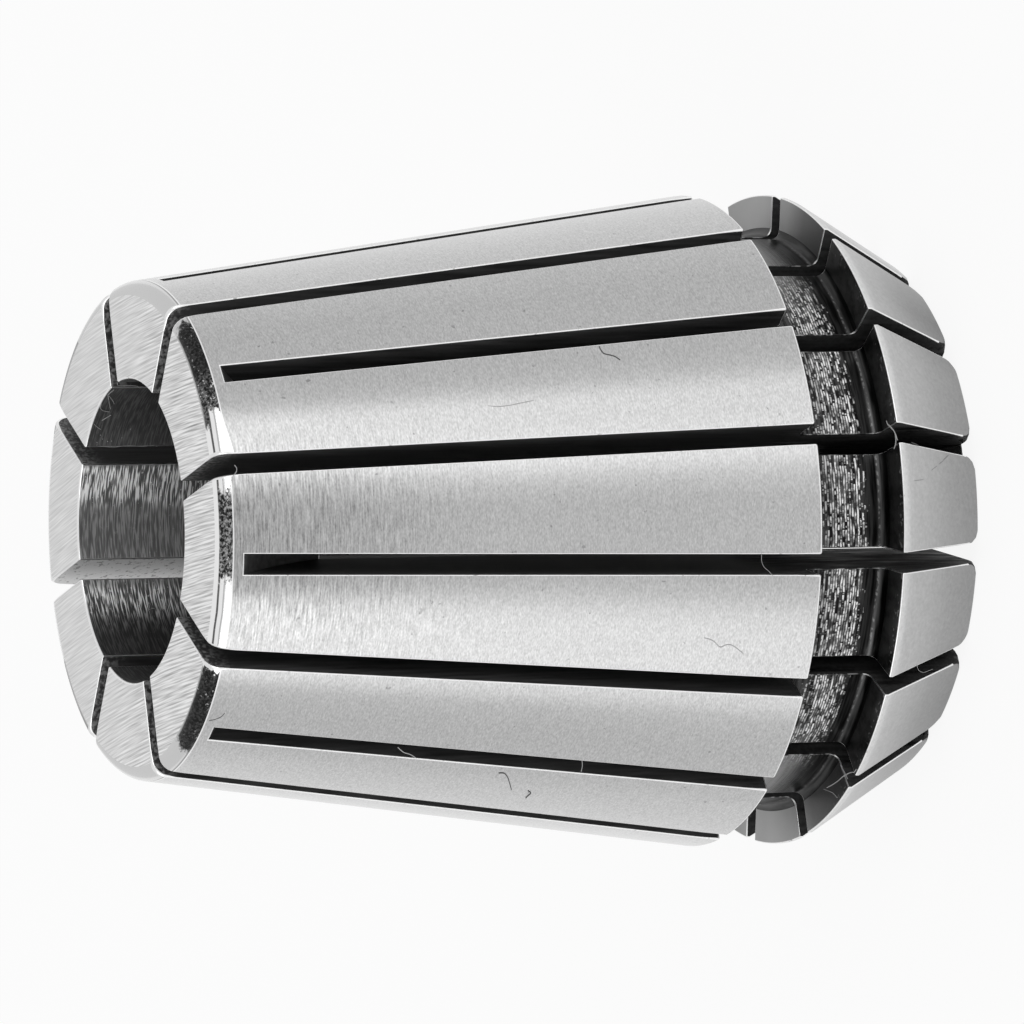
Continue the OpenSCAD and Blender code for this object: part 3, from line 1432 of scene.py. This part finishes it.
@dataclass
class Opening:
    """One slot in the sleeve's skin, with the rows of skin on both sides of it."""

    sleeve: Sleeve
    cut: Slots
    azimuth: float
    before: list[Row]
    after: list[Row]
    strips: dict[int, list[list[int]]] = field(default_factory=lambda: {-1: [], 1: []})

    @property
    def turned_to(self) -> float:
        """Return the azimuth, with a full turn in place of 0."""
        return self.azimuth or 360.0

    @property
    def number(self) -> int:
        """Return the slot's number round the sleeve, from 0."""
        return round(self.turned_to / 180.0 * self.sleeve.slot_pairs) - 1

    def close(self) -> None:
        """Close the slot with its web, its broken edges, its floor and its walls."""
        web = self.web()
        self.edges()
        floor = self.floor(*(self.seat(last, web) for last in (True, False)))
        for side, column in ((-1, 0), (1, -1)):
            ids = [strip[-1] for strip in self.strips[side]]
            self.wall(side, ids + [row[column] for row in floor])

    def across(self, ids: list[int], normal: Point, spots: list[Spot]) -> list[Knot]:
        """Return the knots of a row of vertices that share a normal of the slot's axes."""
        turned = self.sleeve.turned(*normal, self.azimuth)
        return [(v, turned, spot) for v, spot in zip(ids, spots)]

    def web(self) -> dict[int, list[int]]:
        """Close the skin that the slot leaves whole between its two ends.

        Returns:
            The vertices across the slot's plane at each station of the web.
        """
        sleeve = self.sleeve
        stations = sleeve.run(self.cut.end, self.cut.start)
        rows = []
        for i in stations:
            st = sleeve.stations[i]
            azimuths = [self.turned_to + sleeve.offs[i] * share for share in sleeve.shares]
            inner = [sleeve.add(st.r, 0.0, st.z, a) for a in azimuths[1:-1]]
            ids = [self.before[i][-1][0], *inner, self.after[i][0][0]]
            rows.append(list(zip(ids, azimuths)))
        sleeve.weave(rows, stations)
        return {i: [v for v, _ in row] for i, row in zip(stations, rows)}

    def edge_point(self, i: int, t: float) -> Point:
        """Place a point of a broken edge.

        Args:
            i: The station.
            t: The edge's turn, from 0 at the skin to a right angle at the wall.

        Returns:
            Its radius and height, and its distance from the slot's plane.
        """
        st, b = self.sleeve.stations[i], self.sleeve.breaks[i]
        near, deep = 1 - math.sin(t), 1 - math.cos(t)
        wide = self.sleeve.slot_w / 2 + b * near
        end = self.sleeve.slot_ends.get((id(self.cut), i))
        if end is None:
            return st.r - st.nr * (b * deep), st.z - st.nz * (b * deep), wide
        (er, ez), (wr, wz) = end
        r = er + (st.r - er) * near + (wr - er) * deep
        z = ez + (st.z - ez) * near + (wz - ez) * deep
        return r, z, wide

    def edge_knots(self, side: int, i: int, ids: list[int], row: float) -> list[Knot]:
        """Return the knots of a broken edge at one station.

        Args:
            side: -1 or 1, for the side of lower or higher azimuth.
            i: The station.
            ids: The vertices, from the skin to the wall.
            row: The station's row on the flat map.

        Returns:
            The knots, in the same order.
        """
        sleeve = self.sleeve
        st = sleeve.stations[i]
        knots = []
        for v, t in zip(ids, sleeve.turns):
            c, s = math.cos(t), math.sin(t)
            wide = sleeve.slot_w / 2 + sleeve.breaks[i] * (1 - s)
            at = self.turned_to + side * math.degrees(math.atan2(wide, st.r))
            normal = sleeve.turned(st.nr * c, -side * s, st.nz * c, self.azimuth)
            knots.append((v, normal, sleeve.flat.skin(at, row)))
        return knots

    def edges(self) -> None:
        """Break the slot's edges along both sides."""
        sleeve = self.sleeve
        opened = sleeve.run(self.cut.start, self.cut.end)
        for i in opened:
            for side, border in ((-1, self.before[i][-1][0]), (1, self.after[i][0][0])):
                ids = [border]
                for t in sleeve.turns[1:]:
                    r, z, wide = self.edge_point(i, t)
                    x = math.sqrt(r * r - wide * wide)
                    ids.append(sleeve.add(x, side * wide, z, self.azimuth))
                self.strips[side].append(ids)
        for side, strip in self.strips.items():
            for k, (i, after) in enumerate(zip(opened, opened[1:])):
                low = self.edge_knots(side, i, strip[k], sleeve.rows[i])
                high = self.edge_knots(side, after, strip[k + 1], sleeve.rows[i + 1])
                pair = sleeve.stations[i], sleeve.stations[after]
                steps = range(sleeve.edge_steps)
                sleeve.band(low, high, [sleeve.edge_zone(*pair, step) for step in steps])

    def seat(self, last: bool, web: dict[int, list[int]]) -> tuple[list[int], float]:
        """Break the edge where the blade's floor meets the skin.

        Args:
            last: Whether this is the slot's last station, and not its first.
            web: The vertices of the web at each of its stations.

        Returns:
            The floor's border, and its angle round the blade's axis.
        """
        sleeve, cut = self.sleeve, self.cut
        i, k, inwards = (cut.end, -1, -1) if last else (cut.start, 0, 1)
        st = sleeve.stations[i]
        wr, wz = sleeve.slot_ends[(id(cut), i)][1]
        x = math.sqrt(wr * wr - (sleeve.slot_w / 2) ** 2)
        fx, fz = (cut.blade_out - x) / cut.blade_r, (cut.blade_z - wz) / cut.blade_r
        azimuths = [self.turned_to + sleeve.offs[i] * share for share in sleeve.shares]
        ids, rows = web[i], []
        for s, t in enumerate(sleeve.turns):
            if s > 0:
                r, z, wide = self.edge_point(i, t)
                inner = [sleeve.add(math.sqrt(r * r - y * y), y, z, self.azimuth)
                         for y in (wide * share for share in sleeve.shares[1:-1])]
                ids = [self.strips[-1][k][s], *inner, self.strips[1][k][s]]
            w = math.sin(t)
            normal = Vector((st.nr * (1 - w) + fx * w, 0.0, st.nz * (1 - w) + fz * w))
            row = sleeve.rows[i] + inwards * sleeve.edge_row * s / sleeve.edge_steps
            spots = [sleeve.flat.skin(a, row) for a in azimuths]
            rows.append(self.across(ids, normal.normalized(), spots))
        sleeve.bands(rows, Zone.EDGE)
        # The angle lies on the side of the blade that faces the axis
        return ids, math.atan2(wz - cut.blade_z, x - cut.blade_out) % math.tau

    def floor(
        self, first: tuple[list[int], float], last: tuple[list[int], float]
    ) -> list[list[int]]:
        """Add the arc that the blade leaves, from the slot's last station back to its first.

        Args:
            first: The floor's border at the slot's last station, and its angle.
            last: The same at the slot's first station.

        Returns:
            The rows of vertices between the two borders.
        """
        sleeve, cut = self.sleeve, self.cut
        a0, a1 = first[1], last[1]
        arc = [first]
        for k in range(1, sleeve.arc_rows):
            a = a0 + (a1 - a0) * k / sleeve.arc_rows
            x = cut.blade_out + cut.blade_r * math.cos(a)
            z = cut.blade_z + cut.blade_r * math.sin(a)
            ids = [sleeve.add(x, sleeve.slot_w / 2 * share, z, self.azimuth)
                   for share in sleeve.shares]
            arc.append((ids, a))
        arc.append(last)
        rows = []
        for ids, a in arc:
            along = (a - a0) / (a1 - a0)
            spots = [sleeve.flat.floor(self.number, c / sleeve.web_columns, along)
                     for c in range(len(ids))]
            rows.append(self.across(ids, (-math.cos(a), 0.0, -math.sin(a)), spots))
        sleeve.bands(rows, Zone.SAW_FLOOR)
        return [ids for ids, _ in arc[1:-1]]

    def wall(self, side: int, ids: list[int]) -> None:
        """Add one flat wall.

        Args:
            side: -1 or 1, for the side of lower or higher azimuth.
            ids: The wall's border.
        """
        sleeve, right = self.sleeve, int(side > 0)
        box, place, zone = 2 * self.number + right, sleeve.flat.wall, Zone.WALL
        if self.azimuth == sleeve.lit_azimuth:
            box, place, zone = right, sleeve.flat.lighted, Zone.WIPED
        inner = sleeve.bore_r - sleeve.saw_dip
        spots = []
        for v in ids:
            x, y, z = (n / MM for n in sleeve.verts[v])
            out = (math.hypot(x, y) - inner) / (sleeve.body_r - inner)
            spots.append(place(box, out, z / sleeve.length))
        sleeve.face(*zip(*self.across(ids, (0.0, -float(side), 0.0), spots)), zone)


# Lint


class Rest(Enum):
    """The surfaces that lint lies on."""

    TAPER = "taper"
    NOSE = "nose"
    BORE = "bore"
    FLANK = "flank"


@dataclass(frozen=True)
class Fibre:
    """One fibre: azimuth in degrees, and height (or radius, on the flank) in mm, of its bends."""

    rest: Rest
    bends: tuple[tuple[float, float], ...]
    radius: float


def strand(rest: Rest, radius: float, *run: float) -> Fibre:
    """Return a fibre from what it lies on, its radius and the two numbers of each bend."""
    return Fibre(rest, tuple(zip(run[::2], run[1::2])), radius)


PALE_FIBRES = (
    strand(Rest.TAPER, 0.016, 31.79, 26.22, 31.49, 25.73, 31.53, 25.17, 31.87, 24.57, 32.2, 23.91),
    strand(Rest.TAPER, 0.022, -13.53, 15.66, -13.76, 15.36, -14.27, 15.09, -15.19, 14.78, -14.83,
           14.56, -14.65, 14.31, -15.15, 14.0, -16.28, 13.55),
    strand(Rest.TAPER, 0.022, -43.75, 29.44, -45.22, 29.04, -45.72, 28.67, -46.84, 28.26),
    strand(Rest.TAPER, 0.016, -42.98, 20.06, -44.57, 19.91, -46.22, 19.83),
    strand(Rest.TAPER, 0.018, 18.7, 39.3, 19.6, 39.22, 20.5, 39.05, 21.4, 38.99, 22.2, 39.08),
    strand(Rest.TAPER, 0.01, 2.21, 13.1, 1.33, 13.11, 0.46, 13.08, -0.42, 12.96, -1.12, 12.72,
           -1.95, 12.5),
    strand(Rest.NOSE, 0.01, -20.3, 3.66, -21.15, 3.57, -22.09, 3.35, -22.87, 3.0, -23.08, 2.58,
           -23.12, 2.32),
    strand(Rest.FLANK, 0.022, 25.78, 15.47, 24.85, 15.57, 23.86, 15.88, 22.95, 16.16, 21.97, 16.3,
           21.24, 16.36),
    strand(Rest.FLANK, 0.022, 24.9, 15.62, 22.95, 16.16, 21.12, 16.18, 20.08, 15.89),
    strand(Rest.FLANK, 0.022, -54.46, 15.24, -50.05, 15.55, -46.99, 15.74, -44.32, 16.06, -43.08,
           16.3, -42.0, 16.36),
    strand(Rest.FLANK, 0.018, -55.94, 15.14, -53.0, 15.72, -51.63, 16.21),
    strand(Rest.FLANK, 0.018, -46.95, 15.09, -46.34, 15.66, -46.0, 16.1),
    strand(Rest.BORE, 0.015, 118.33, 39.73, 121.49, 39.8, 123.32, 39.83, 124.75, 39.66, 127.04,
           39.45, 130.11, 39.21),
    strand(Rest.BORE, 0.015, 123.32, 39.83, 129.71, 39.49, 133.41, 39.29),
    strand(Rest.BORE, 0.015, 130.27, 39.9, 132.75, 39.84, 134.37, 39.65, 134.96, 39.42, 135.22,
           39.26),
    strand(Rest.BORE, 0.015, 137.22, 39.12, 138.87, 39.33, 140.25, 39.5),
    strand(Rest.BORE, 0.015, 110.2, 39.9, 113.53, 39.71, 113.68, 39.15, 114.17, 38.71, 116.9,
           38.4),
    strand(Rest.BORE, 0.015, 142.28, 39.83, 143.84, 39.61, 144.95, 39.4),
    strand(Rest.BORE, 0.012, 153.2, 39.2, 153.6, 38.5, 153.1, 37.7, 153.5, 36.9, 153.0, 36.3),
)
DARK_HAIRS = (
    strand(Rest.TAPER, 0.022, 42.62, 20.0, 41.8, 19.96, 40.96, 19.86, 40.52, 19.58, 40.09, 19.35,
           39.25, 19.15),
    strand(Rest.TAPER, 0.022, -49.33, 23.83, -49.2, 23.58, -50.24, 23.31, -52.25, 23.02, -55.14,
           22.65),
    strand(Rest.TAPER, 0.022, -54.86, 21.81, -55.63, 21.59, -56.61, 21.61, -58.01, 21.63),
    strand(Rest.TAPER, 0.012, -40.41, 39.17, -39.9, 38.92, -38.9, 38.66, -37.6, 38.55),
    strand(Rest.NOSE, 0.018, 20.95, 4.75, 20.82, 4.45, 20.6, 4.2),
    strand(Rest.TAPER, 0.018, 137.0, 26.5, 138.4, 26.1, 138.9, 25.5, 140.3, 25.2),
    strand(Rest.TAPER, 0.018, -120.5, 18.4, -119.6, 18.0, -119.9, 17.4),
)
BORE_DUST = (
    (147.87, 39.33), (149.74, 39.16), (151.27, 39.43), (150.96, 38.86), (150.7, 38.66),
    (149.33, 38.15), (144.94, 37.82), (153.48, 36.17),
)


@dataclass
class Fluff:
    """One sort of lint: its fibres as closed tubes and its grains of dust."""

    name: str
    finish: Lint
    fibres: tuple[Fibre, ...]
    grains: tuple[tuple[float, float], ...]
    sleeve: Sleeve
    sides: int = 5
    steps: int = 4
    sink: float = 0.2
    grain_r: float = 0.03
    grain_sink: float = 0.4
    grain_spread: tuple[float, float] = (0.7, 1.3)
    verts: list[Point] = field(default_factory=list)
    faces: list[list[int]] = field(default_factory=list)

    def spot(self, rest: Rest, azimuth: float, value: float, lift: float) -> Vector:
        """Return a place above a surface of the collet.

        Args:
            rest: The surface.
            azimuth: Azimuth, degrees.
            value: Height, or radius on the flank, mm.
            lift: Distance above the surface, mm.

        Returns:
            The place, mm.
        """
        sleeve = self.sleeve
        if rest is Rest.FLANK:
            r, z = value, sleeve.nose_len + lift
        elif rest is Rest.BORE:
            r, z = sleeve.bore_r - lift, value
        elif rest is Rest.TAPER:
            r, z = sleeve.taper_at(value) + lift / math.cos(math.radians(sleeve.taper_deg)), value
        else:
            slope = math.radians(sleeve.nose_deg)
            r, z = sleeve.rim_r + value * math.tan(slope) + lift / math.cos(slope), value
        c, s = heading(azimuth)
        return Vector((r * c, r * s, z))

    @staticmethod
    def between(a: float, b: float, c: float, d: float, t: float) -> float:
        """Return the value at a share t of the smooth curve from b to c."""
        return 0.5 * (2 * b + (c - a) * t + (2 * a - 5 * b + 4 * c - d) * t**2
                      + (3 * b - a - 3 * c + d) * t**3)

    def line(self, fibre: Fibre) -> list[Vector]:
        """Lay a fibre's middle line on the collet.

        Args:
            fibre: The fibre.

        Returns:
            The line's points, mm.
        """
        bends = fibre.bends
        padded = (bends[0], *bends, bends[-1])
        pairs = []
        for k in range(len(bends) - 1):
            four = padded[k:k + 4]
            for step in range(self.steps):
                t = step / self.steps
                pairs.append([self.between(*(p[axis] for p in four), t) for axis in (0, 1)])
        pairs.append(bends[-1])
        lift = (1 - self.sink) * fibre.radius
        return [self.spot(fibre.rest, a, v, lift) for a, v in pairs]

    def tube(self, fibre: Fibre) -> None:
        """Add a closed tube along a fibre's middle line.

        Args:
            fibre: The fibre.
        """
        line = self.line(fibre)
        up = Vector((line[0].x, line[0].y, 0.0)).normalized()
        first = len(self.verts)
        for k, point in enumerate(line):
            ahead = (line[min(k + 1, len(line) - 1)] - line[max(k - 1, 0)]).normalized()
            side = ahead.cross(up).normalized()
            up = side.cross(ahead)
            for n in range(self.sides):
                a = math.tau * n / self.sides
                spot = point + (side * math.cos(a) + up * math.sin(a)) * fibre.radius
                self.verts.append(tuple(spot * MM))
        m = self.sides
        for k in range(len(line) - 1):
            low = first + k * m
            for n in range(m):
                after = (n + 1) % m
                self.faces.append([low + n, low + m + n, low + m + after, low + after])
        last = first + (len(line) - 1) * m
        self.faces.append([first + n for n in range(m)])
        self.faces.append([last + n for n in reversed(range(m))])

    def grain(self, azimuth: float, z: float) -> None:
        """Add a grain of dust to the bore, as a small uneven octahedron.

        Args:
            azimuth: Its azimuth, degrees.
            z: Its height, mm.
        """
        middle = self.spot(Rest.BORE, azimuth, z, (1 - self.grain_sink) * self.grain_r)
        first = len(self.verts)
        for axis in range(3):
            for sign in (1.0, -1.0):
                out = Vector((0.0, 0.0, 0.0))
                out[axis] = sign * self.grain_r * random.uniform(*self.grain_spread)
                self.verts.append(tuple((middle + out) * MM))
        for x in (0, 1):
            for y in (2, 3):
                for z_side in (4, 5):
                    ids = [first + x, first + y, first + z_side]
                    odd = (x + y + z_side) % 2
                    self.faces.append(ids[::-1] if odd else ids)

    def piece(self) -> bpy.types.Object:
        """Build the lint and lay it on the collet.

        Returns:
            The finished piece.
        """
        for fibre in self.fibres:
            self.tube(fibre)
        for azimuth, z in self.grains:
            self.grain(azimuth, z)
        mesh = bpy.data.meshes.new(self.name)
        mesh.from_pydata(self.verts, [], self.faces)
        mesh.materials.append(self.finish.material())
        piece = stand(self.name, mesh)
        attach(piece, "root")
        return piece


# Studio


@dataclass(frozen=True)
class Softbox:
    """A tall soft lamp that stands beside the collet."""

    name: str
    azimuth: float
    elevation: float
    distance: float
    width: float
    height: float
    radiance: float
    aim_z: float = 20.0

    def place(self) -> None:
        """Add the lamp, facing the collet's middle."""
        data = bpy.data.lights.new(self.name, "AREA")
        data.shape = "RECTANGLE"
        data.size, data.size_y = self.width * MM, self.height * MM
        data.energy = self.radiance * math.pi * data.size * data.size_y
        lamp = stand(self.name, data)
        (ca, sa), (ce, se) = heading(self.azimuth), heading(self.elevation)
        out = Vector((ca * ce, sa * ce, se))
        lamp.location = Vector((0.0, 0.0, self.aim_z * MM)) + out * self.distance * MM
        lamp.rotation_mode = "QUATERNION"
        lamp.rotation_quaternion = out.to_track_quat("Z", "Y")
        lamp.visible_camera = False


@dataclass(frozen=True)
class Viewpoint:
    """The camera: a long lens that looks down at the standing collet, rolled onto its side."""

    azimuth: float = FRONT_AZIMUTH
    elevation: float = 23.10093
    roll: float = -1.00483
    focal_px: float = 8433.703
    picture_px: float = 1024.0
    sensor: float = 36.0
    offset: Point = (-0.45282, 0.61252, 423.76855)
    aim_z: float = 20.0
    clip: tuple[float, float] = (0.01, 20.0)

    def place(self) -> None:
        """Add the camera and make it the scene's."""
        (ca, sa), (ce, se) = heading(self.azimuth), heading(self.elevation)
        cr, sr = heading(self.roll)
        ahead = -Vector((ce * ca, ce * sa, se))
        upright = Vector((-se * ca, -se * sa, ce))
        sideways = Vector((-sa, ca, 0.0))
        right = -upright * cr + sideways * sr
        down = -upright * sr - sideways * cr
        cx, cy, cz = self.offset
        middle = Vector((0.0, 0.0, self.aim_z))
        spot = middle - right * cx - down * cy - ahead * cz
        turn = Matrix((right, -down, -ahead)).transposed().to_4x4()
        data = bpy.data.cameras.new("camera")
        data.sensor_width = self.sensor
        data.lens = self.focal_px * self.sensor / self.picture_px
        data.clip_start, data.clip_end = self.clip
        camera = stand("camera", data)
        camera.matrix_world = Matrix.Translation(spot * MM) @ turn
        bpy.context.scene.camera = camera


@dataclass
class Studio:
    """The pale floor, the world and the lamps."""

    floor_r: float = 1500.0
    floor_sides: int = 64
    floor_drop: float = 0.02
    floor_level: float = 0.95
    shadow_share: float = 0.1
    ambient: float = 0.8
    lamps: tuple[Softbox, ...] = (
        Softbox("left_softbox", 43.3, 16.0, 1000.0, 590.0, 560.0, 1.7),
        Softbox("right_softbox", -40.3, 16.0, 1000.0, 770.0, 560.0, 1.7),
    )

    @staticmethod
    def seen(bench: Bench) -> Wire:
        """Tell what is looked at from what only lights.

        Args:
            bench: The bench of the floor or the world.

        Returns:
            1 for what the camera, a mirror or glass sees, and 0 for plain light.
        """
        path = bench.raw("ShaderNodeLightPath", {}, {})
        rays = ("Is Camera Ray", "Is Glossy Ray", "Is Transmission Ray")
        camera, glossy, through = (Wire(bench, path.outputs[name]) for name in rays)
        return (camera + glossy + through).held()

    def floor(self) -> None:
        """Add the floor that the collet stands on."""
        mesh = bpy.data.meshes.new("floor")
        count, radius = self.floor_sides, self.floor_r * MM
        turns = [math.tau * k / count for k in range(count)]
        rim = [(radius * math.cos(a), radius * math.sin(a), 0.0) for a in turns]
        mesh.from_pydata(rim, [], [list(range(count))])
        bench = Surface("pale_floor")
        grain = bench.noise((0.05, 0.05, 0.05), 1.1, 3.0)
        level = (grain - 0.5) * 0.02 + self.floor_level
        plain = bench.node("ShaderNodeBsdfDiffuse", {}, {"Color": bench.grey(level)})
        white = bench.node("ShaderNodeEmission", {}, {"Strength": 1.0})
        share = self.seen(bench) * (1 - self.shadow_share)
        mixed = bench.node("ShaderNodeMixShader", {}, [share, plain, white])
        bench.raw("ShaderNodeOutputMaterial", {}, {"Surface": mixed})
        mesh.materials.append(bench.material)
        floor = stand("floor", mesh)
        floor.location.z = -self.floor_drop * MM

    def world(self) -> None:
        """Light the room evenly, and show it white behind the collet and in its metal."""
        world = bpy.data.worlds.new("room")
        world.use_nodes = True
        bench = Bench(world.node_tree)
        level = self.seen(bench) * (1 - self.ambient) + self.ambient
        light = bench.node("ShaderNodeBackground", {}, {"Strength": level})
        bench.raw("ShaderNodeOutputWorld", {}, {"Surface": light})
        bpy.context.scene.world = world

    def build(self) -> None:
        """Put the whole studio up."""
        self.floor()
        self.world()
        for lamp in self.lamps:
            lamp.place()
        bpy.context.scene.view_settings.view_transform = "Standard"


def main() -> None:
    """Build the collet and the studio, and report each piece."""
    logging.basicConfig(level=logging.INFO, format="%(message)s")
    random.seed(7)
    Viewpoint().place()
    Studio().build()
    sleeve = Sleeve()
    builders = (
        sleeve,
        Fluff("lint_fibres", Lint("pale_lint", 0.45), PALE_FIBRES, BORE_DUST, sleeve),
        Fluff("lint_hairs", Lint("dark_lint", 0.1), DARK_HAIRS, (), sleeve),
    )
    for builder in builders:
        piece = builder.piece()
        LOG.info("%s: %d faces", piece.name, len(piece.data.polygons))


if __name__ == "__main__":
    main()
